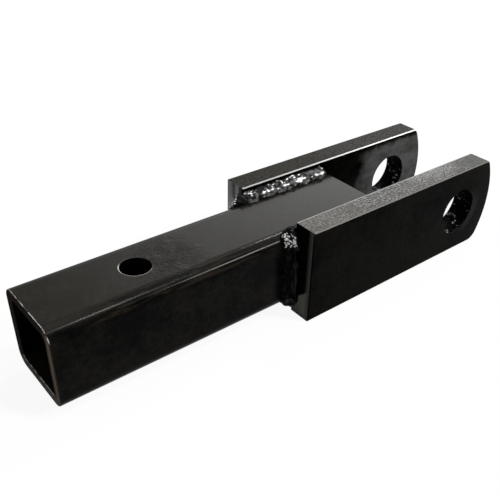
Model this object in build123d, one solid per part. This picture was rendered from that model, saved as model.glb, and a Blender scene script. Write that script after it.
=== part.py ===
from build123d import *
from math import hypot, sqrt
import os

# Clevis mount for a receiver hitch: a hollow square shank with two flat bars welded
# to its sides. X runs along the shank, from its open end at -X to the clevis tips at +X.
# Y runs across it, with the right plate at +Y, and Z points up. The origin is below the
# middle of the part, on the surface that the lower edges of the plates rest on.
# All sizes are in millimetres.

# Square shank
shank_width = 50.8
shank_wall = 6.0
shank_corner_radius = 8.0
shank_bore_corner_radius = 2.5
shank_length = 222.25
shank_arris = 0.5
hitch_hole_diameter = 17.5
hitch_hole_setback = 61.0
hitch_hole_arris = 0.4

# Flat bars of the clevis
plate_length = 175.0
plate_height = 63.5
plate_thickness = 16.0
plate_overlap = 69.85
plate_drop = 5.0
plate_arris = 0.9
tip_radius = 65.0
upper_tip_corner = 4.0
lower_tip_corner = 9.0
clevis_hole_diameter = 32.0
clevis_hole_setback = 35.0
clevis_hole_arris = 0.6

# Weld along the grooves between the shank's round corners and the plates
groove_weld_width = 7.6
groove_weld_rise = 4.6
groove_weld_crown = 1.0

# Weld up the front ends of the plates
front_weld_shank_leg = 9.0
front_weld_plate_leg = 6.0
front_weld_crown = 1.2

# Ripples that the weld puddles leave
ripple_pitch = 3.6
ripple_depth = 0.55
ripple_crest = 0.6

# Places that follow from the sizes
overall_length = shank_length - plate_overlap + plate_length
shank_front = -overall_length / 2
shank_rear = shank_front + shank_length
plate_front = shank_rear - plate_overlap
plate_tip = plate_front + plate_length
shank_side = shank_width / 2
shank_bottom = plate_drop
shank_middle = shank_bottom + shank_width / 2
shank_top = shank_bottom + shank_width
plate_middle = plate_height / 2


def shank_outline(width, corner_radius):
    """Rounded square across the shank, on its centre line, in a plane that faces +X."""
    across = Plane(origin=(0, 0, shank_middle), x_dir=(0, 1, 0), z_dir=(1, 0, 0))
    return across * RectangleRounded(width, width, corner_radius)


def shank_core():
    """The shank's outer form, filled, which every weld bead is cut back to."""
    outline = shank_outline(shank_width, shank_corner_radius)
    return Pos(shank_front, 0, 0) * extrude(outline, shank_length)


def hole_cutter(diameter, length, arris):
    """Drill along Z, centred, that also breaks the two mouths of a hole of this length."""
    radius = diameter / 2
    past = length / 2 + arris
    wide = radius + 2 * arris
    inside = length / 2 - arris
    profile = Polyline(
        (0, -past), (wide, -past), (radius, -inside), (radius, inside), (wide, past), (0, past),
        close=True,
    )
    return revolve(Plane.XZ * make_face(profile), Axis.Z)


def shank_tube():
    """Hollow square tube, open at both ends, with a pin hole down through two walls."""
    outer = shank_outline(shank_width, shank_corner_radius)
    bore = shank_outline(shank_width - 2 * shank_wall, shank_bore_corner_radius)
    tube = Pos(shank_front, 0, 0) * extrude(outer - bore, shank_length)
    ends = tube.faces().sort_by(Axis.X)
    tube = fillet(ends[0].edges() + ends[-1].edges(), shank_arris)
    drill = hole_cutter(hitch_hole_diameter, shank_width, hitch_hole_arris)
    return tube - Pos(shank_front + hitch_hole_setback, 0, shank_middle) * drill


def plate_outline():
    """Side view of one plate: a straight bar whose tip is one wide arc."""
    arc_centre = plate_tip - tip_radius
    arc_start = arc_centre + sqrt(tip_radius ** 2 - plate_middle ** 2)
    lower_edge = Line((plate_front, 0), (arc_start, 0))
    tip = ThreePointArc((arc_start, 0), (plate_tip, plate_middle), (arc_start, plate_height))
    upper_edge = Line((arc_start, plate_height), (plate_front, plate_height))
    front_edge = Line((plate_front, plate_height), (plate_front, 0))
    outline = make_face(lower_edge + tip + upper_edge + front_edge)
    corners = outline.vertices().sort_by(Axis.X)[-2:].sort_by(Axis.Y)
    outline = fillet(corners[0], lower_tip_corner)
    corners = outline.vertices().group_by(Axis.Y)[-1].sort_by(Axis.X)
    return fillet(corners[-1], upper_tip_corner)


def clevis_plate():
    """Right plate, flush on the shank's side, with the cross hole for the clevis pin."""
    side = Plane(origin=(0, shank_side + plate_thickness, 0), x_dir=(1, 0, 0), z_dir=(0, -1, 0))
    plate = extrude(side * plate_outline(), plate_thickness)
    faces = plate.faces().sort_by(Axis.Y)
    plate = fillet(faces[0].edges() + faces[-1].edges(), plate_arris)
    drill = Rot(90, 0, 0) * hole_cutter(clevis_hole_diameter, plate_thickness, clevis_hole_arris)
    hole_x = plate_tip - clevis_hole_setback
    return plate - Pos(hole_x, shank_side + plate_thickness / 2, plate_middle) * drill


def bead_circle(leg_across, leg_up, crown):
    """Circle of a convex fillet weld in a square corner, measured from the corner.

    It passes through both toes and stands proud of the chord between them by the crown.
    """
    chord = hypot(leg_across, leg_up)
    radius = (chord ** 2 / 4 + crown ** 2) / (2 * crown)
    depth = radius - crown
    across = leg_across / 2 - depth * leg_up / chord
    up = leg_up / 2 - depth * leg_across / chord
    return across, up, radius


def rippled_rod(length, radius):
    """Rod along +Z, turned from one arc for each weld puddle, with its crest near the far end."""
    count = max(round(length / ripple_pitch), 2)
    step = length / count
    valley = radius - ripple_depth
    outline = Line((0, 0), (valley, 0))
    for puddle in range(count):
        start = (valley, puddle * step)
        crest = (radius, (puddle + ripple_crest) * step)
        end = (valley, (puddle + 1) * step)
        outline += ThreePointArc(start, crest, end)
    outline += Line((valley, length), (0, length))
    outline += Line((0, length), (0, 0))
    return revolve(Plane.XZ * make_face(outline), Axis.Z)


def groove_weld():
    """Bead along the top of the shank that fills the groove beside the right plate."""
    across, up, radius = bead_circle(groove_weld_width, groove_weld_rise, groove_weld_crown)
    start = (plate_front, shank_side - across, shank_top + up)
    run = Plane(origin=start, x_dir=(0, 1, 0), z_dir=(1, 0, 0))
    rod = run * rippled_rod(plate_overlap, radius)
    room = Box(overall_length, shank_side, 2 * plate_height, align=(Align.CENTER, Align.MIN, Align.MIN))
    return (rod & Pos(0, 0, shank_middle) * room) - shank_core()


def front_weld():
    """Bead up the front end of the right plate, turned over the shank's round corners."""
    across, up, radius = bead_circle(
        front_weld_shank_leg, front_weld_plate_leg, front_weld_crown
    )
    start = (plate_front - across, shank_side + up, shank_middle - plate_height)
    rod = Pos(*start) * rippled_rod(2 * plate_height, radius)
    groove_across, groove_up, groove_radius = bead_circle(
        groove_weld_width, groove_weld_rise, groove_weld_crown
    )
    turn_side = shank_side - groove_across
    turn_height = shank_width / 2 + groove_up
    turn = Pos(turn_side, turn_height) * Circle(groove_radius)
    turn += Pos(turn_side, -turn_height) * Circle(groove_radius)
    turn += Pos(turn_side, 0) * Rectangle(2 * groove_radius, 2 * turn_height)
    plate_end = Plane(origin=(plate_front, 0, shank_middle), x_dir=(0, 1, 0), z_dir=(1, 0, 0))
    wrap = extrude(plate_end * turn, -2 * radius)
    return (rod & wrap) - shank_core()


def on_left(shape):
    """The same piece on the left side of the shank."""
    return mirror(shape, about=Plane.XZ)


def on_bottom(shape):
    """The same piece on the underside of the shank."""
    return mirror(shape, about=Plane(origin=(0, 0, shank_middle), z_dir=(0, 0, 1)))


def main():
    """Writes one file for each piece."""
    os.makedirs("parts", exist_ok=True)
    plate = clevis_plate()
    top_bead = groove_weld()
    front_bead = front_weld()
    pieces = {
        "shank_tube": shank_tube(),
        "right_clevis_plate": plate,
        "left_clevis_plate": on_left(plate),
        "right_top_weld": top_bead,
        "left_top_weld": on_left(top_bead),
        "right_bottom_weld": on_bottom(top_bead),
        "left_bottom_weld": on_left(on_bottom(top_bead)),
        "right_front_weld": front_bead,
        "left_front_weld": on_left(front_bead),
    }
    for name, shape in pieces.items():
        export_step(shape, f"parts/{name}.step")


main()
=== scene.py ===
from math import radians, tan
import bpy
import numpy as np
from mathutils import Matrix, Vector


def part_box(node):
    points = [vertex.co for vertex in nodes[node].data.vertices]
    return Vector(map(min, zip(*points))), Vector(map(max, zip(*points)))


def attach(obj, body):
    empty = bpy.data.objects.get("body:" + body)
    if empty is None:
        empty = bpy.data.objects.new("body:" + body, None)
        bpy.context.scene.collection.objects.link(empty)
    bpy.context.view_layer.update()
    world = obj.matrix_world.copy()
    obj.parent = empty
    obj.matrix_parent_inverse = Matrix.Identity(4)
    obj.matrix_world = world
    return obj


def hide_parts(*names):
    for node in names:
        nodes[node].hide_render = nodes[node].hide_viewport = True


# Clevis mount in black paint: a square shank with two flat bars welded to its sides.
# All places are in metres, in the frame of the solid parts: X along the shank towards the
# clevis tips, Y across it towards the right plate, Z up.

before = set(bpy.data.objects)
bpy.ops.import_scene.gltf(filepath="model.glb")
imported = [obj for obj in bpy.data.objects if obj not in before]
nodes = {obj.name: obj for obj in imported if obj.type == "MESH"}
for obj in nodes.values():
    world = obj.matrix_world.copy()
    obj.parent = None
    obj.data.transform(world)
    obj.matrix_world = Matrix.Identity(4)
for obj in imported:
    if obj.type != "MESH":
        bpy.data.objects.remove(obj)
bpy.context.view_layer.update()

mm = 0.001
pin_hole_setback = 61.0 * mm
clevis_hole_setback = 35.0 * mm
groove_bead_width = 7.6 * mm
tube_low, tube_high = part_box("shank_tube")
plate_low, plate_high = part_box("right_clevis_plate")
shank_front = tube_low.x
shank_rear = tube_high.x
shank_side = tube_high.y
shank_top = tube_high.z
shank_bottom = tube_low.z
shank_middle = (shank_top + shank_bottom) / 2
shank_corner = 8.0 * mm
pin_hole_x = shank_front + pin_hole_setback
plate_front = plate_low.x
plate_tip = plate_high.x
clevis_hole_x = plate_tip - clevis_hole_setback
clevis_hole_z = (plate_low.z + plate_high.z) / 2


# Weld beads

# Width across a bead that the sizes of lumps and glints are measured against
face_width = 9.0 * mm


def skin_mesh(name, rings):
    """Closed skin over rings of points, shaped (stations, points round, 4), capped at both ends.

    The first three numbers of a point are its place, and the fourth is kept as its crest, an
    attribute that the paint reads. Neighbouring rings are joined by quads, and each end ring is
    closed by a fan of triangles to its own middle point.
    """
    stations, around, _ = rings.shape
    points = np.concatenate([rings.reshape(-1, 4), rings[:1].mean(1), rings[-1:].mean(1)])
    row = np.arange(stations - 1)[:, None] * around
    here = np.arange(around)[None, :]
    after = (here + 1) % around
    quads = np.stack([row + here, row + around + here, row + around + after, row + after], -1)
    first, last = stations * around, stations * around + 1
    end_row = (stations - 1) * around
    start_fan = np.stack([np.full(around, first), here[0], after[0]], -1)
    end_fan = np.stack([np.full(around, last), end_row + after[0], end_row + here[0]], -1)
    faces = quads.reshape(-1, 4).tolist() + start_fan.tolist() + end_fan.tolist()
    mesh = bpy.data.meshes.new(name)
    mesh.from_pydata(points[:, :3].tolist(), [], faces)
    mesh.attributes.new("crest", "FLOAT", "POINT").data.foreach_set("value", points[:, 3])
    mesh.polygons.foreach_set("use_smooth", np.ones(len(mesh.polygons), bool))
    mesh.update()
    piece = bpy.data.objects.new(name, mesh)
    bpy.context.scene.collection.objects.link(piece)
    return piece


def waves(along, pitches, draw):
    """Mean of sines along the bead, one for each pitch, each with its own drawn phase."""
    phases = draw.uniform(0, 2 * np.pi, len(pitches))
    turns = along[:, None] / np.array(pitches) + phases / (2 * np.pi)
    return np.sin(2 * np.pi * turns).mean(1)


def lumps(along, across, start, end, count, long, wide, height, draw):
    """Sum of bell curves on the bead, height * exp(-(ds / long)^2 - (dw / wide)^2).

    ds is the way along the bead from a lump's middle and dw the way across it. The middles lie
    at drawn places between start and end, and the sizes and heights are drawn round those given.
    """
    middle = draw.uniform(start, end, count)
    side = draw.uniform(0.08, 0.92, count)
    size = draw.uniform(0.7, 1.4, count)
    tall = height * draw.uniform(-0.5, 1.0, count)
    ds = (along[:, None, None] - middle) / (long * size)
    dw = (across[None, :, None] - side) * face_width / (wide * size)
    return (tall * np.exp(-ds ** 2 - dw ** 2)).sum(-1)


def glints(along, across, start, end, row, count, long, wide, draw):
    """Bell curves of height 1 on the bead, clipped where they overlap, for painted highlights.

    The row gives how far across the bead their middles may lie, from 0 to 1.
    """
    middle = draw.uniform(start, end, count)
    side = draw.uniform(row[0], row[1], count)
    size = draw.uniform(0.5, 1.3, count)
    ds = (along[:, None, None] - middle) / (long * size)
    dw = (across[None, :, None] - side) * face_width / (wide * size)
    return np.clip(np.exp(-ds ** 2 - dw ** 2).sum(-1), 0, 1)


def puddle_ripples(along, across, pitch, depth, draw):
    """Crescent ripples of the weld puddle, depth * sin(2 pi (s / pitch + bow)), with drift."""
    bow = 0.45 * (2 * across - 1) ** 2
    drift = 0.35 * waves(along, [17 * mm, 9 * mm, 5 * mm], draw)
    return depth * np.sin(2 * np.pi * (along[:, None] / pitch + bow + drift[:, None]))


def bead_rings(path, out_a, out_b, leg_a, leg_b, crown, relief, back, draw, waver=1.0):
    """Fillet bead along a path, as rings of points.

    Each ring starts as the chord between its toes, root + a * leg_a * (1 - v) + b * leg_b * v,
    raised by crown * (4 v (1 - v))^0.8 and by the relief, a function of the way along and of
    v, both along the line from the root. Both legs waver along the path, and near its ends
    everything shrinks as a quarter circle does. The ring closes through the back points. The
    fourth number of each point is its crest, which the relief gives too.
    """
    steps = np.linalg.norm(np.diff(path, axis=0), axis=1)
    along = np.concatenate([[0], np.cumsum(steps)])
    length = along[-1]
    v = np.linspace(0, 1, 44)
    wander_a = 1 + 0.12 * waver * waves(along, [15 * mm, 8.1 * mm, 4.7 * mm], draw)
    wander_b = 1 + 0.10 * waver * waves(along, [13 * mm, 7.3 * mm, 4.1 * mm], draw)
    reach = np.minimum(along, length - along) / (4.0 * mm)
    end_round = np.sqrt(np.clip(1 - np.clip(1 - reach, 0, 1) ** 2, 0.0004, 1))
    a = (leg_a * wander_a * end_round)[:, None]
    b = (leg_b * wander_b * end_round)[:, None]
    chord = np.hypot(a, b)
    bulge = 4 * v * (1 - v)
    lift = crown * end_round[:, None] * bulge ** 0.8
    height, crest = relief(along, v)
    lift = lift + height * np.clip(3 * bulge, 0, 1) * end_round[:, None]
    local_a = a * (1 - v) + lift * b / chord
    local_b = b * v + lift * a / chord
    back_a = back[:, 0] * end_round[:, None]
    back_b = back[:, 1] * end_round[:, None]
    ring_a = np.concatenate([local_a, back_a], 1)[..., None]
    ring_b = np.concatenate([local_b, back_b], 1)[..., None]
    rings = path[:, None, :] + ring_a * out_a[:, None, :] + ring_b * out_b[:, None, :]
    crest = np.concatenate([crest, np.zeros_like(back_a)], 1)
    return np.concatenate([rings, crest[..., None]], 2)


def mirrored(rings, side, over):
    """The rings on the left side of the shank, on its underside, or as they are."""
    rings = rings.copy()
    turned = False
    if side < 0:
        rings[..., 1] *= -1
        turned = not turned
    if over < 0:
        rings[..., 2] = 2 * shank_middle - rings[..., 2]
        turned = not turned
    return rings[:, ::-1] if turned else rings


def groove_bead(seed, shank_leg, plate_leg, crown, rough):
    """Bead in the groove between the shank's top and the right plate, from front to rear.

    The path is the line where the shank's top would meet the plate. The back follows the
    plate down into the groove and comes up round the shank's corner. Its relief is a rope of
    long lumps over faint ripples, scaled by rough, and its crest adds three sets of painted glints.
    """
    draw = np.random.default_rng(seed)
    count = 340
    stations = np.linspace(plate_front - 2.0 * mm, shank_rear - 0.8 * mm, count)
    path = np.stack([stations, np.full(count, shank_side), np.full(count, shank_top)], 1)
    to_shank = np.tile([0.0, -1.0, 0.0], (count, 1))
    up = np.tile([0.0, 0.0, 1.0], (count, 1))
    length = stations[-1] - stations[0]

    def relief(along, v):
        rope = puddle_ripples(along, v, 4.4 * mm, 0.16 * mm, draw)
        rope = rope + lumps(along, v, 0, length, 60, 2.0 * mm, 1.1 * mm, 0.75 * mm, draw)
        rope = rope + lumps(along, v, 0, length, 120, 0.8 * mm, 0.6 * mm, 0.28 * mm, draw)
        # Glints: painted highlights, carried only in the crest.
        shine = glints(along, v, 12 * mm, length, (0.30, 0.55), 19, 1.7 * mm, 0.65 * mm, draw)
        shine = shine + glints(along, v, 0, length, (0.45, 0.95), 46, 0.8 * mm, 0.45 * mm, draw)
        shine = 1.5 * shine + glints(along, v, 0, length, (0.0, 0.2), 16, 1.3 * mm, 0.4 * mm, draw)
        return rough * rope, rough * (rope / mm + shine)

    sunk = 0.3 * mm
    turn = np.radians(np.linspace(75, 12, 8))
    inner = shank_corner - sunk
    back = np.concatenate([
        [[-sunk, 3.6 * mm], [-sunk, -2.0 * mm], [-sunk, -6.5 * mm]],
        np.stack([shank_corner - inner * np.sin(turn), inner * np.cos(turn) - shank_corner], 1),
    ])
    return bead_rings(path, to_shank, up, shank_leg, plate_leg, crown, relief, back, draw)


def front_bead(seed):
    """Bead up the front end of the right plate, over the shank's round corners.

    The path follows the shank's outline in the plane of the plate's front end: part of an arc
    at the lower corner, a straight run up the side, and an arc over the upper corner. Its
    relief is long smooth runs, a cluster of small lumps at the top, and a crater at the foot.
    Its crest adds painted light: glints on the cluster, reflection streaks below, a lighter top.
    """
    draw = np.random.default_rng(seed)
    low, high = shank_bottom + shank_corner, shank_top - shank_corner
    centre = shank_side - shank_corner
    over = np.radians(np.linspace(0, 80, 80))
    under = np.radians(np.linspace(-52, 0, 44))
    rise = np.linspace(low, high, 170)[1:-1]
    arcs = [np.stack([centre + shank_corner * np.cos(turn), end + shank_corner * np.sin(turn)], 1)
            for turn, end in ((under, low), (over, high))]
    side = np.stack([np.full(len(rise), shank_side), rise], 1)
    line = np.concatenate([arcs[0], side, arcs[1]])
    away = np.concatenate([
        np.stack([np.cos(under), np.sin(under)], 1),
        np.tile([1.0, 0.0], (len(rise), 1)),
        np.stack([np.cos(over), np.sin(over)], 1),
    ])
    count = len(line)
    path = np.column_stack([np.full(count, plate_front), line])
    forward = np.tile([-1.0, 0.0, 0.0], (count, 1))
    outward = np.column_stack([np.zeros(count), away])
    length = np.linalg.norm(np.diff(path, axis=0), axis=1).sum()

    def relief(along, v):
        runs = lumps(along, v, 0, length, 34, 8.0 * mm, 1.0 * mm, 0.8 * mm, draw)
        runs = runs + lumps(along, v, 0, length, 40, 2.6 * mm, 0.7 * mm, 0.35 * mm, draw)
        top = length - 3.0 * mm
        cluster = lumps(along, v, top - 8 * mm, top, 60, 0.7 * mm, 0.65 * mm, 0.6 * mm, draw)
        foot = np.hypot((along[:, None] - 5.0 * mm), (v[None, :] - 0.5) * 8.5 * mm)
        crater = 0.7 * np.exp(-((foot - 2.8 * mm) / (0.8 * mm)) ** 2)
        crater = crater - 0.9 * np.exp(-(foot / (1.9 * mm)) ** 2)
        height = runs + cluster + crater * mm
        # Painted highlights in the crest: glints on the top cluster, reflection streaks below, a lighter
        # top.
        shine = glints(along, v, top - 6.5 * mm, top, (0.12, 0.80), 62, 0.34 * mm, 0.32 * mm, draw)
        reflection_streak = glints(along, v, 0, top - 9 * mm, (0.05, 0.95), 16, 3.2 * mm, 0.30 * mm, draw)
        lit_top = np.clip((along - top + 8 * mm) / (3 * mm), 0, 0.35)[:, None]
        return height, 0.45 * height / mm + 1.9 * shine + 0.75 * reflection_streak + lit_top

    sunk = 0.3 * mm
    back = np.array([[-sunk, 4.0 * mm], [-sunk, -sunk], [6.0 * mm, -sunk]])
    return bead_rings(path, forward, outward, 9.0 * mm, 6.0 * mm, 1.3 * mm, relief, back, draw, 0.5)


# Finishes

def new_material(name):
    """Material with an empty node tree."""
    material = bpy.data.materials.new(name)
    material.use_nodes = True
    material.node_tree.nodes.clear()
    return material, material.node_tree


def node(tree, kind, **values):
    """Adds a node, and sets its sockets and settings by name."""
    made = tree.nodes.new(kind)
    for key, value in values.items():
        if key in made.inputs:
            made.inputs[key].default_value = value
        else:
            setattr(made, key, value)
    return made


def feed(tree, socket, value):
    """Puts a number, a colour or another node's output into a socket."""
    if isinstance(value, (int, float)):
        socket.default_value = value
    elif isinstance(value, tuple):
        socket.default_value = (*value, 1)
    else:
        tree.links.new(value, socket)


def math(tree, operation, first, second=0.0):
    """One sum on two values, each a number or an output."""
    made = node(tree, "ShaderNodeMath", operation=operation)
    feed(tree, made.inputs[0], first)
    feed(tree, made.inputs[1], second)
    return made.outputs[0]


def both(tree, *masks):
    """Product of masks."""
    total = masks[0]
    for mask in masks[1:]:
        total = math(tree, "MULTIPLY", total, mask)
    return total


def step(tree, value, low, high, top=1.0):
    """Smooth step, from 0 at low to its top at high; low may be above high."""
    made = node(tree, "ShaderNodeMapRange", interpolation_type="SMOOTHSTEP")
    feed(tree, made.inputs["Value"], value)
    falling = low > high
    made.inputs["From Min"].default_value = high if falling else low
    made.inputs["From Max"].default_value = low if falling else high
    made.inputs["To Min"].default_value = top if falling else 0.0
    made.inputs["To Max"].default_value = 0.0 if falling else top
    return made.outputs["Result"]


def noise(tree, place, scale, detail=4.0, roughness=0.55, stretch=None):
    """Noise between 0 and 1 over a place, with its own stretch if one is given."""
    if stretch:
        mapping = node(tree, "ShaderNodeMapping", Scale=stretch)
        feed(tree, mapping.inputs["Vector"], place)
        place = mapping.outputs[0]
    made = node(tree, "ShaderNodeTexNoise", Scale=scale, Detail=detail, Roughness=roughness)
    feed(tree, made.inputs["Vector"], place)
    return made.outputs["Fac"]


def blend(tree, factor, first, second):
    """Colour between two colours."""
    made = node(tree, "ShaderNodeMix", data_type="RGBA")
    feed(tree, made.inputs["Factor"], factor)
    feed(tree, made.inputs[6], first)
    feed(tree, made.inputs[7], second)
    return made.outputs[2]


def level(tree, factor, first, second):
    """Number between two numbers."""
    made = node(tree, "ShaderNodeMix", data_type="FLOAT")
    feed(tree, made.inputs["Factor"], factor)
    feed(tree, made.inputs[2], first)
    feed(tree, made.inputs[3], second)
    return made.outputs[0]


def bump(tree, height, strength, distance, under=None):
    """Bump node over an optional earlier one."""
    made = node(tree, "ShaderNodeBump", Strength=strength, Distance=distance)
    feed(tree, made.inputs["Height"], height)
    if under is not None:
        feed(tree, made.inputs["Normal"], under)
    return made.outputs["Normal"]


def hypotenuse(tree, first, second):
    """Square root of the sum of two squares."""
    squares = math(tree, "ADD", math(tree, "POWER", first, 2.0), math(tree, "POWER", second, 2.0))
    return math(tree, "SQRT", squares)


def surface_place(tree):
    """Object coordinates, whole and as X, Y and Z, and the surface's own direction."""
    place = node(tree, "ShaderNodeTexCoord").outputs["Object"]
    parts = node(tree, "ShaderNodeSeparateXYZ")
    feed(tree, parts.inputs[0], place)
    facing = node(tree, "ShaderNodeSeparateXYZ")
    feed(tree, facing.inputs[0], node(tree, "ShaderNodeNewGeometry").outputs["Normal"])
    return place, parts.outputs, facing.outputs


def finish_material(tree, colour, roughness, normal, gloss):
    """Paint shader with its output. The gloss is one number, set on the shader itself."""
    shader = node(tree, "ShaderNodeBsdfPrincipled")
    shader.inputs["Specular IOR Level"].default_value = gloss
    feed(tree, shader.inputs["Base Color"], colour)
    feed(tree, shader.inputs["Roughness"], roughness)
    feed(tree, shader.inputs["Normal"], normal)
    out = node(tree, "ShaderNodeOutputMaterial")
    feed(tree, out.inputs["Surface"], shader.outputs[0])


def shank_paint():
    """Gloss black paint on drawn tube: dusty with painted light on top, a dull patch, a brown sawn end.

    Long streaks of painted reflection run along the round upper corners. The sawn end has painted
    light and shade on its walls, and its top arris and the pin hole's rim have painted highlights.
    """
    material, tree = new_material("shank_black_paint")
    place, at, facing = surface_place(tree)
    cloud = noise(tree, place, 34, 5, 0.6)
    tint = noise(tree, place, 48, 3, 0.5)
    grain = step(tree, noise(tree, place, 330, 4, 0.7), 0.35, 0.68)
    colour = blend(tree, step(tree, cloud, 0.40, 0.64), (0.0001, 0.0001, 0.0001), (0.0022, 0.0021, 0.0018))
    colour = blend(tree, step(tree, tint, 0.52, 0.68, 0.7), colour, (0.0042, 0.0021, 0.0007))
    colour = blend(tree, both(tree, grain, step(tree, cloud, 0.3, 0.6)), colour, (0.0048, 0.0044, 0.0038))

    upward = step(tree, facing["Z"], 0.62, 0.93)
    apart = node(tree, "ShaderNodeVectorMath", operation="DISTANCE")
    feed(tree, apart.inputs[0], place)
    apart.inputs[1].default_value = (pin_hole_x + 20 * mm, -2 * mm, shank_top)
    dull = both(tree, step(tree, apart.outputs["Value"], 30 * mm, 10 * mm),
                step(tree, noise(tree, place, 90, 4, 0.6), 0.30, 0.50))
    mottle = step(tree, noise(tree, place, 190, 6, 0.75), 0.40, 0.62)
    thick = both(tree, grain, step(tree, cloud, 0.35, 0.6))
    # Lighter tone on upward faces: partly dust, partly painted light from above.
    top_dust_and_light = blend(tree, thick, (0.0078, 0.0070, 0.0048), (0.0130, 0.0121, 0.0096))
    stain = blend(tree, mottle, (0.0, 0.0, 0.0), (0.0110, 0.0085, 0.0058))
    top_dust_and_light = blend(tree, dull, top_dust_and_light, stain)
    colour = blend(tree, upward, colour, top_dust_and_light)

    # Painted reflection: brown streaks along the round upper corners, between the front and the plates.
    turned = both(tree, step(tree, facing["Z"], 0.20, 0.40), step(tree, facing["Z"], 0.995, 0.96))
    streaks = step(tree, noise(tree, place, 420, 4, 0.65, (0.10, 1.0, 1.0)), 0.46, 0.60)
    corner_reflection_tone = blend(tree, streaks, (0.0005, 0.0004, 0.0003), (0.0105, 0.0078, 0.0054))
    along_corner = both(tree, step(tree, at["X"], shank_front + 10 * mm, shank_front + 35 * mm),
                        step(tree, at["X"], -5 * mm, -45 * mm))
    colour = blend(tree, both(tree, turned, along_corner), colour, corner_reflection_tone)

    across = math(tree, "ABSOLUTE", at["Y"])
    # Sawn end: brown bare steel with grain, a painted sheen band near its outer edge, painted light
    # on the lower and left walls, and painted shade on the upper and right walls.
    sawn = step(tree, at["X"], shank_front + 0.25 * mm, shank_front + 0.05 * mm)
    sawn_tone_and_light = blend(tree, grain, (0.016, 0.009, 0.005), (0.040, 0.027, 0.019))
    sheen = both(tree, step(tree, across, 25.0 * mm, 24.0 * mm), step(tree, across, 20.6 * mm, 22.0 * mm))
    sawn_tone_and_light = blend(tree, sheen, sawn_tone_and_light, (0.075, 0.064, 0.054))
    low_wall = step(tree, at["Z"], 11.5 * mm, 9.5 * mm)
    sawn_tone_and_light = blend(tree, low_wall, sawn_tone_and_light, (0.055, 0.052, 0.048))
    lit_wall = math(tree, "MAXIMUM", low_wall, step(tree, at["Y"], -17 * mm, -19 * mm))
    sawn_tone_and_light = blend(tree, lit_wall, (0.0022, 0.0012, 0.0006), sawn_tone_and_light)
    colour = blend(tree, sawn, colour, sawn_tone_and_light)
    rounded = both(tree, step(tree, facing["X"], -0.15, -0.4), step(tree, facing["X"], -0.98, -0.9))
    patchy_highlight = step(tree, noise(tree, place, 240, 3, 0.6), 0.35, 0.55)
    end_edge = both(tree, step(tree, at["X"], shank_front + 0.9 * mm, shank_front + 0.6 * mm), rounded)
    colour = blend(tree, end_edge, colour, (0.022, 0.011, 0.006))
    # Painted highlight on the end's top arris, broken into patches by noise.
    edge_tone_and_highlight = blend(tree, step(tree, at["Z"], 30 * mm, 40 * mm), (0.50, 0.49, 0.48), (0.50, 0.48, 0.46))
    colour = blend(tree, both(tree, end_edge, step(tree, facing["Z"], 0.15, 0.35), patchy_highlight), colour, edge_tone_and_highlight)

    past_hole = math(tree, "SUBTRACT", at["X"], pin_hole_x)
    from_hole = hypotenuse(tree, past_hole, at["Y"])
    in_hole = step(tree, from_hole, 9.4 * mm, 9.2 * mm)
    # Painted highlight on the pin hole's rim, brighter towards the front and left; the hole's wall is black.
    lit_side = step(tree, math(tree, "ADD", past_hole, at["Y"]), 3 * mm, -5 * mm)
    rim_highlight_tone = blend(tree, lit_side, (0.035, 0.033, 0.030), (0.42, 0.40, 0.38))
    hole_tone_and_highlights = blend(tree, step(tree, facing["Z"], 0.3, 0.6), (0.0003, 0.0003, 0.0003), rim_highlight_tone)
    colour = blend(tree, in_hole, colour, hole_tone_and_highlights)

    normal = bump(tree, noise(tree, place, 210, 2, 0.5), 0.04, 0.0002)
    pitted = math(tree, "MAXIMUM", sawn, both(tree, dull, upward))
    normal = bump(tree, both(tree, noise(tree, place, 500, 4, 0.7), pitted), 0.8, 0.0004, normal)
    roughness = level(tree, step(tree, noise(tree, place, 60, 6, 0.7), 0.3, 0.75), 0.12, 0.20)
    roughness = level(tree, both(tree, dull, upward), roughness, 0.35)
    finish_material(tree, colour, level(tree, sawn, roughness, 0.9), normal, 0.026)
    return material


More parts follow.
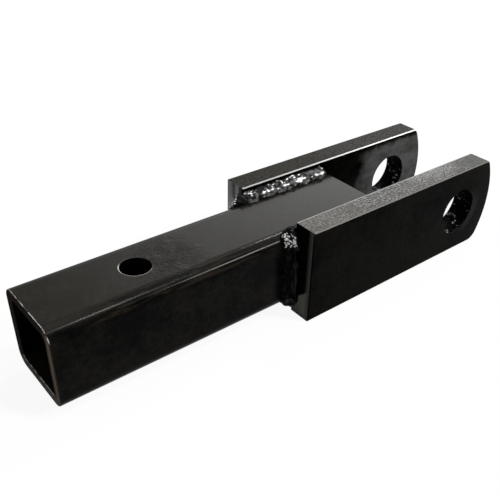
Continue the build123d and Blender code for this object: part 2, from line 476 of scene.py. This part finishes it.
def plate_paint():
    """Gloss black paint on flat bar, rough on the rolled edges, with painted light, highlights and
    reflections.
    """
    material, tree = new_material("plate_black_paint")
    place, at, facing = surface_place(tree)
    sideways = math(tree, "ABSOLUTE", facing["Y"])
    off_middle = math(tree, "ABSOLUTE", at["Y"])
    right = step(tree, at["Y"], -1 * mm, 1 * mm)
    left = math(tree, "SUBTRACT", 1.0, right)
    past_hole = math(tree, "SUBTRACT", at["X"], clevis_hole_x)
    above_hole = math(tree, "SUBTRACT", at["Z"], clevis_hole_z)
    from_hole = hypotenuse(tree, past_hole, above_hole)

    cloud = noise(tree, place, 26, 5, 0.65)
    tint = noise(tree, place, 42, 4, 0.6)
    speck = noise(tree, place, 900, 5, 0.75, (0.7, 1.0, 1.0))
    grain = step(tree, noise(tree, place, 300, 4, 0.75), 0.38, 0.66)
    colour = blend(tree, step(tree, cloud, 0.38, 0.62), (0.0003, 0.0003, 0.0003), (0.0022, 0.0021, 0.0018))
    colour = blend(tree, step(tree, tint, 0.52, 0.66, 0.7), colour, (0.0019, 0.0024, 0.0009))
    colour = blend(tree, step(tree, tint, 0.48, 0.36, 0.6), colour, (0.0026, 0.0014, 0.0006))
    colour = blend(tree, both(tree, grain, step(tree, cloud, 0.3, 0.6)), colour, (0.0038, 0.0036, 0.0031))
    # Painted reflection: a soft pale halo on the left plate beside its hole, towards the tip.
    glow = both(tree, left, step(tree, from_hole, 15 * mm, 18 * mm), step(tree, from_hole, 25 * mm, 19 * mm),
                step(tree, at["X"], clevis_hole_x + 4 * mm, clevis_hole_x + 16 * mm),
                step(tree, at["Z"], clevis_hole_z + 14 * mm, clevis_hole_z - 2 * mm))
    colour = blend(tree, glow, colour, (0.010, 0.010, 0.0095))

    # Painted reflection: cloudy grey on the plates' inner faces towards the tips, ending in a ragged line
    # below the top.
    inner = both(tree, step(tree, sideways, 0.90, 0.98), step(tree, off_middle, 28 * mm, 26 * mm))
    drift = math(tree, "MULTIPLY", math(tree, "SUBTRACT", cloud, 0.5), 40 * mm)
    teeth = math(tree, "MULTIPLY", math(tree, "SUBTRACT", noise(tree, place, 150, 3, 0.6), 0.5), 9 * mm)
    hazy_reflection = both(tree, inner, step(tree, math(tree, "ADD", at["X"], drift), 92 * mm, 106 * mm),
                step(tree, math(tree, "ADD", at["Z"], teeth), 61.5 * mm, 57.5 * mm))
    wisps = noise(tree, place, 60, 5, 0.6, (1.0, 1.0, 2.0))
    hazy_reflection_tone = blend(tree, step(tree, wisps, 0.35, 0.65), (0.034, 0.034, 0.033), (0.066, 0.066, 0.065))
    colour = blend(tree, hazy_reflection, colour, hazy_reflection_tone)

    on_edge = step(tree, sideways, 0.30, 0.08)
    upward = step(tree, facing["Z"], 0.80, 0.97)
    blotch = noise(tree, place, 75, 4, 0.6)
    # Rolled top edges: speckled tone under painted light, lighter on the left plate and darker on the right,
    # with a painted highlight patch on the left plate towards its inner edge.
    left_top_lit_tone = blend(tree, step(tree, speck, 0.44, 0.58), (0.042, 0.041, 0.039), (0.212, 0.210, 0.205))
    left_top_lit_tone = blend(tree, step(tree, at["X"], 45 * mm, 5 * mm, 0.4), left_top_lit_tone, (0.105, 0.096, 0.087))
    left_top_lit_tone = blend(tree, step(tree, blotch, 0.48, 0.66, 0.5), left_top_lit_tone, (0.070, 0.065, 0.057))
    left_top_lit_tone = blend(tree, step(tree, at["X"], 118 * mm, 145 * mm, 0.6), left_top_lit_tone, (0.070, 0.070, 0.069))
    highlight_patch = both(tree, step(tree, at["X"], 70 * mm, 100 * mm), step(tree, at["X"], 140 * mm, 112 * mm),
                  step(tree, off_middle, 40 * mm, 28 * mm), step(tree, speck, 0.35, 0.6, 0.5))
    left_top_lit_tone = blend(tree, highlight_patch, left_top_lit_tone, (0.32, 0.32, 0.315))
    right_top_shaded_tone = blend(tree, step(tree, speck, 0.40, 0.60), (0.005, 0.004, 0.003), (0.049, 0.047, 0.044))
    far_front = blend(tree, step(tree, speck, 0.40, 0.60), (0.004, 0.004, 0.003), (0.031, 0.029, 0.025))
    right_top_shaded_tone = blend(tree, step(tree, at["X"], 90 * mm, 50 * mm), right_top_shaded_tone, far_front)
    edge_tone_and_highlight = blend(tree, right, left_top_lit_tone, right_top_shaded_tone)
    # Front end faces: on the right plate a painted reflection, grey and lighter towards the bottom, with a
    # dark
    # near its outer edge.
    # smudge; on the left plate black, with a painted reflection at its foot and a painted highlight band
    smudge = both(tree, step(tree, noise(tree, place, 170, 4, 0.6), 0.44, 0.54),
                  step(tree, off_middle, 39 * mm, 33 * mm), step(tree, at["Z"], 44 * mm, 52 * mm), 0.85)
    right_end_reflection = blend(tree, step(tree, at["Z"], 40 * mm, 58 * mm), (0.40, 0.40, 0.40), (0.25, 0.25, 0.25))
    right_end_reflection = blend(tree, smudge, right_end_reflection, (0.004, 0.004, 0.004))
    end_face_light_and_shade = blend(tree, right, (0.0006, 0.0006, 0.0006), right_end_reflection)
    foot_slope = math(tree, "MULTIPLY", off_middle, 0.83)
    over_foot = math(tree, "SUBTRACT", at["Z"], foot_slope)
    foot = both(tree, left, step(tree, over_foot, -11.2 * mm, -12.4 * mm))
    end_face_light_and_shade = blend(tree, foot, end_face_light_and_shade, (0.085, 0.085, 0.075))
    edge_highlight_band = both(tree, left, step(tree, off_middle, 36.2 * mm, 40.0 * mm))
    end_face_light_and_shade = blend(tree, edge_highlight_band, end_face_light_and_shade, (0.045, 0.045, 0.042))
    forward = both(tree, on_edge, step(tree, facing["X"], -0.5, -0.8))
    # Painted highlight along the left plate's top, next to its inner edge.
    inner_arris_highlight = both(tree, left, step(tree, off_middle, 26.9 * mm, 26.3 * mm))
    edge_tone_and_highlight = blend(tree, inner_arris_highlight, edge_tone_and_highlight, (0.32, 0.32, 0.31))
    colour = blend(tree, forward, colour, end_face_light_and_shade)
    colour = blend(tree, both(tree, on_edge, upward), colour, edge_tone_and_highlight)

    # Painted highlights on the top arrises: on the right plate grey turning white towards the tip;
    # on the left plate patchy grey, dimmer near the outer edge.
    top_arris = both(tree, step(tree, sideways, 0.12, 0.4), step(tree, facing["Z"], 0.15, 0.35))
    right_arris_highlight = blend(tree, step(tree, at["X"], -10 * mm, 150 * mm), (0.38, 0.38, 0.37), (0.9, 0.9, 0.89))
    patchy_highlight = step(tree, noise(tree, place, 130, 4, 0.6), 0.35, 0.6)
    left_arris_highlight = blend(tree, patchy_highlight, (0.20, 0.20, 0.19), (0.50, 0.50, 0.49))
    left_arris_highlight = blend(tree, step(tree, off_middle, 32 * mm, 34 * mm), left_arris_highlight, (0.15, 0.145, 0.135))
    colour = blend(tree, top_arris, colour, blend(tree, right, left_arris_highlight, right_arris_highlight))

    in_hole = step(tree, from_hole, 16.8 * mm, 16.5 * mm)
    # Hole walls: black with painted glints, bright on the lower part.
    hole_glints = both(tree, step(tree, noise(tree, place, 380, 3, 0.6, (1.0, 0.45, 1.0)), 0.54, 0.64),
                 step(tree, noise(tree, place, 110, 2, 0.5), 0.46, 0.56))
    lower = step(tree, at["Z"], clevis_hole_z + 8 * mm, clevis_hole_z - 8 * mm)
    hole_glint_tone = blend(tree, lower, (0.03, 0.03, 0.03), (0.36, 0.36, 0.355))
    hole_tone_and_highlights = blend(tree, hole_glints, (0.0003, 0.0003, 0.0003), hole_glint_tone)
    colour = blend(tree, in_hole, colour, hole_tone_and_highlights)

    normal = bump(tree, noise(tree, place, 240, 2, 0.5), 0.10, 0.0002)
    pits = both(tree, noise(tree, place, 620, 4, 0.7), on_edge)
    normal = bump(tree, pits, 0.30, 0.0004, normal)
    drilled = both(tree, noise(tree, place, 260, 3, 0.6), in_hole)
    normal = bump(tree, drilled, 0.9, 0.0015, normal)
    finish_material(tree, colour, level(tree, on_edge, 0.20, 0.5), normal, 0.009)
    return material


def weld_paint(name, valley, slope, crest, low, gloss):
    """Thick gloss black paint on the weld beads, with painted reflections on slopes and highlights on
    crests.

    Valley, slope and crest are grey values. Low is the crest value at which slopes begin.
    """
    material, tree = new_material(name)
    place, _, _ = surface_place(tree)
    height = node(tree, "ShaderNodeAttribute", attribute_name="crest").outputs["Fac"]
    fine = math(tree, "MULTIPLY", math(tree, "SUBTRACT", noise(tree, place, 420, 4, 0.65), 0.5), 0.9)
    height = math(tree, "ADD", height, fine)
    valley_tone = (valley, valley, valley)
    slope_reflection_tone = (slope, slope, 0.98 * slope)
    crest_highlight_tone = (crest, crest, 0.99 * crest)
    # Painted light by crest value: reflection tone on slopes, highlight tone on crests.
    colour = blend(tree, step(tree, height, low, low + 0.6), valley_tone, slope_reflection_tone)
    colour = blend(tree, step(tree, height, 0.9 + low, 1.5 + low), colour, crest_highlight_tone)
    normal = bump(tree, noise(tree, place, 800, 3, 0.6), 0.15, 0.0002)
    finish_material(tree, colour, level(tree, fine, 0.12, 0.2), normal, gloss)
    return material


# Studio

def background_rays(tree):
    """1 for the rays that show a background: camera, glossy and transmission."""
    path = node(tree, "ShaderNodeLightPath").outputs
    seen = math(tree, "MAXIMUM", path["Is Camera Ray"], path["Is Glossy Ray"])
    return math(tree, "MAXIMUM", seen, path["Is Transmission Ray"])


def floor_finish():
    """White paper that keeps a faint shadow."""
    material, tree = new_material("white_paper")
    paper = node(tree, "ShaderNodeBsdfDiffuse")
    place = node(tree, "ShaderNodeTexCoord").outputs["Object"]
    white = blend(tree, noise(tree, place, 90), (0.79, 0.79, 0.79), (0.81, 0.81, 0.81))
    feed(tree, paper.inputs["Color"], white)
    glow = node(tree, "ShaderNodeEmission", Strength=1.0)
    mix = node(tree, "ShaderNodeMixShader")
    feed(tree, mix.inputs[0], math(tree, "MULTIPLY", background_rays(tree), 0.92))
    feed(tree, mix.inputs[1], paper.outputs[0])
    feed(tree, mix.inputs[2], glow.outputs[0])
    out = node(tree, "ShaderNodeOutputMaterial")
    feed(tree, out.inputs["Surface"], mix.outputs[0])
    return material


def studio_world():
    """Pale surround with a soft overhead, and a long panel low behind the clevis's right side.

    The panel's brightness is a product of smooth steps in compass angle and in height.
    """
    world = bpy.data.worlds.new("studio")
    bpy.context.scene.world = world
    world.use_nodes = True
    tree = world.node_tree
    tree.nodes.clear()
    toward = node(tree, "ShaderNodeSeparateXYZ")
    feed(tree, toward.inputs[0], node(tree, "ShaderNodeTexCoord").outputs["Generated"])
    turn = math(tree, "ARCTAN2", toward.outputs["Y"], toward.outputs["X"])
    height = math(tree, "ARCSINE", toward.outputs["Z"])
    panel = both(tree,
                 step(tree, turn, radians(84), radians(42), 6.2),
                 step(tree, turn, radians(5), radians(22)),
                 step(tree, height, radians(10), radians(20)),
                 step(tree, height, radians(48), radians(38)))
    overhead = step(tree, height, radians(42), radians(62), 4.0)
    light = math(tree, "ADD", math(tree, "ADD", 1.0, panel), overhead)
    shown = level(tree, background_rays(tree), 0.15, 1.0)
    background = node(tree, "ShaderNodeBackground", Color=(1, 1, 1, 1))
    feed(tree, background.inputs["Strength"], math(tree, "MULTIPLY", shown, light))
    out = node(tree, "ShaderNodeOutputWorld")
    feed(tree, out.inputs["Surface"], background.outputs[0])


def softbox(name, turn, height, wide, tall, brightness):
    """Lamp of the given angular size, 4 m away on a bearing, facing the object."""
    distance = 4.0
    lamp = bpy.data.lights.new(name, "AREA")
    lamp.shape = "RECTANGLE"
    lamp.size = 2 * distance * tan(radians(wide / 2))
    lamp.size_y = 2 * distance * tan(radians(tall / 2))
    lamp.energy = brightness * lamp.size * lamp.size_y * np.pi
    holder = bpy.data.objects.new(name, lamp)
    bpy.context.scene.collection.objects.link(holder)
    bearing, rise = radians(turn), radians(height)
    level_part = np.cos(rise)
    toward = np.array([np.cos(bearing) * level_part, np.sin(bearing) * level_part, np.sin(rise)])
    holder.location = tuple(toward * distance)
    holder.rotation_euler = holder.location.to_track_quat("Z", "Y").to_euler()
    holder.location.z += shank_middle
    holder.visible_camera = False
    return holder


def photo_camera():
    """Camera at the photograph's place, from a fit with the part's sizes held.

    The fit used edges, corners, hole rims and the plates' tips in the photograph.
    """
    focal_pixels = 678.6
    centre_pixel = (282.5, 279.1)
    picture_pixels = 500
    place = (-0.24447, -0.27287, 0.26174)
    turn_degrees = (54.860, -2.684, -40.392)
    camera = bpy.data.cameras.new("camera")
    camera.sensor_width = 36
    camera.lens = focal_pixels / picture_pixels * camera.sensor_width
    camera.shift_x = 0.5 - centre_pixel[0] / picture_pixels
    camera.shift_y = centre_pixel[1] / picture_pixels - 0.5
    camera.clip_start, camera.clip_end = 0.01, 50
    holder = bpy.data.objects.new("camera", camera)
    holder.location = place
    holder.rotation_euler = tuple(radians(angle) for angle in turn_degrees)
    bpy.context.scene.collection.objects.link(holder)
    bpy.context.scene.camera = holder


# The object

def dress(name, material):
    """Gives a solid part its finish."""
    mesh = nodes[name].data
    mesh.materials.clear()
    mesh.materials.append(material)


plate_finish = plate_paint()
front_weld_finish = weld_paint(
    "front_weld_paint", valley=0.0003, slope=0.014, crest=0.55, low=0.25, gloss=0.016)
top_weld_finish = weld_paint(
    "top_weld_paint", valley=0.004, slope=0.090, crest=0.85, low=0.02, gloss=0.03)
dress("shank_tube", shank_paint())
dress("left_clevis_plate", plate_finish)
dress("right_clevis_plate", plate_finish)

# For each bead: its rings as on the upper right, -1 if it is on the left, -1 if underneath
beads = {
    "right_top_weld": (groove_bead(11, groove_bead_width, 5.0 * mm, 1.5 * mm, 1.0), 1, 1),
    "left_top_weld": (groove_bead(12, 6.6 * mm, 4.0 * mm, 0.7 * mm, 0.5), -1, 1),
    "right_bottom_weld": (groove_bead(13, groove_bead_width, 3.5 * mm, 1.2 * mm, 0.8), 1, -1),
    "left_bottom_weld": (groove_bead(14, groove_bead_width, 3.5 * mm, 1.2 * mm, 0.8), -1, -1),
    "right_front_weld": (front_bead(21), 1, 1),
    "left_front_weld": (front_bead(22), -1, 1),
}
for solid_weld, (rings, side, over) in beads.items():
    bead = skin_mesh(solid_weld.replace("weld", "bead"), mirrored(rings, side, over))
    bead.data.materials.append(front_weld_finish if "front" in solid_weld else top_weld_finish)
    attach(bead, "root")
    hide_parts(solid_weld)

bpy.ops.mesh.primitive_plane_add(size=12)
floor = bpy.context.object
floor.name = "floor"
floor.data.materials.append(floor_finish())

studio_world()
softbox("lamp_front_end", turn=-50, height=63, wide=7, tall=3.6, brightness=160)
softbox("lamp_front_side", turn=-51, height=37, wide=12, tall=3.7, brightness=180)
softbox("lamp_rear_top", turn=26, height=50, wide=12, tall=1.5, brightness=200)
photo_camera()
bpy.context.scene.view_settings.view_transform = "Standard"
